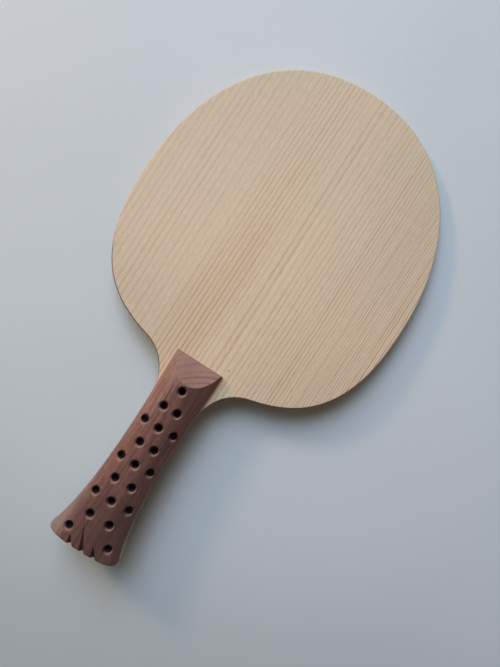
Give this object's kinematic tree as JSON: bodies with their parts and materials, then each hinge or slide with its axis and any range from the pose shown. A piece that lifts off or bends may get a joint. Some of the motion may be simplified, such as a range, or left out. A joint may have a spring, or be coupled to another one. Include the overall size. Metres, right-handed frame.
{
  "type": "table tennis blade",
  "caption": "Bare plywood table tennis blade with an egg-shaped head and a flared, drilled walnut handle notched at the butt.",
  "frame": {"origin": "half way along the overall length, on the blade's mid-plane and its line of symmetry", "axes": "+Y along the blade from the butt of the handle to the tip of the head, +Z out of the front playing face, +X to the right across the front"},
  "size_m": [0.15, 0.2622, 0.023],
  "materials": {
    "face_veneer": "bare sanded straight-grained softwood",
    "cross_veneer": "bare sanded veneer edge",
    "core_wood": "bare sanded light core wood",
    "walnut": "bare sanded walnut"
  },
  "bodies": {
    "root": {"front_face_veneer": "face_veneer", "front_cross_veneer": "cross_veneer", "core_ply": "core_wood", "rear_cross_veneer": "cross_veneer", "rear_face_veneer": "face_veneer", "front_handle_slab": "walnut", "rear_handle_slab": "walnut"}
  },
  "joints": []
}
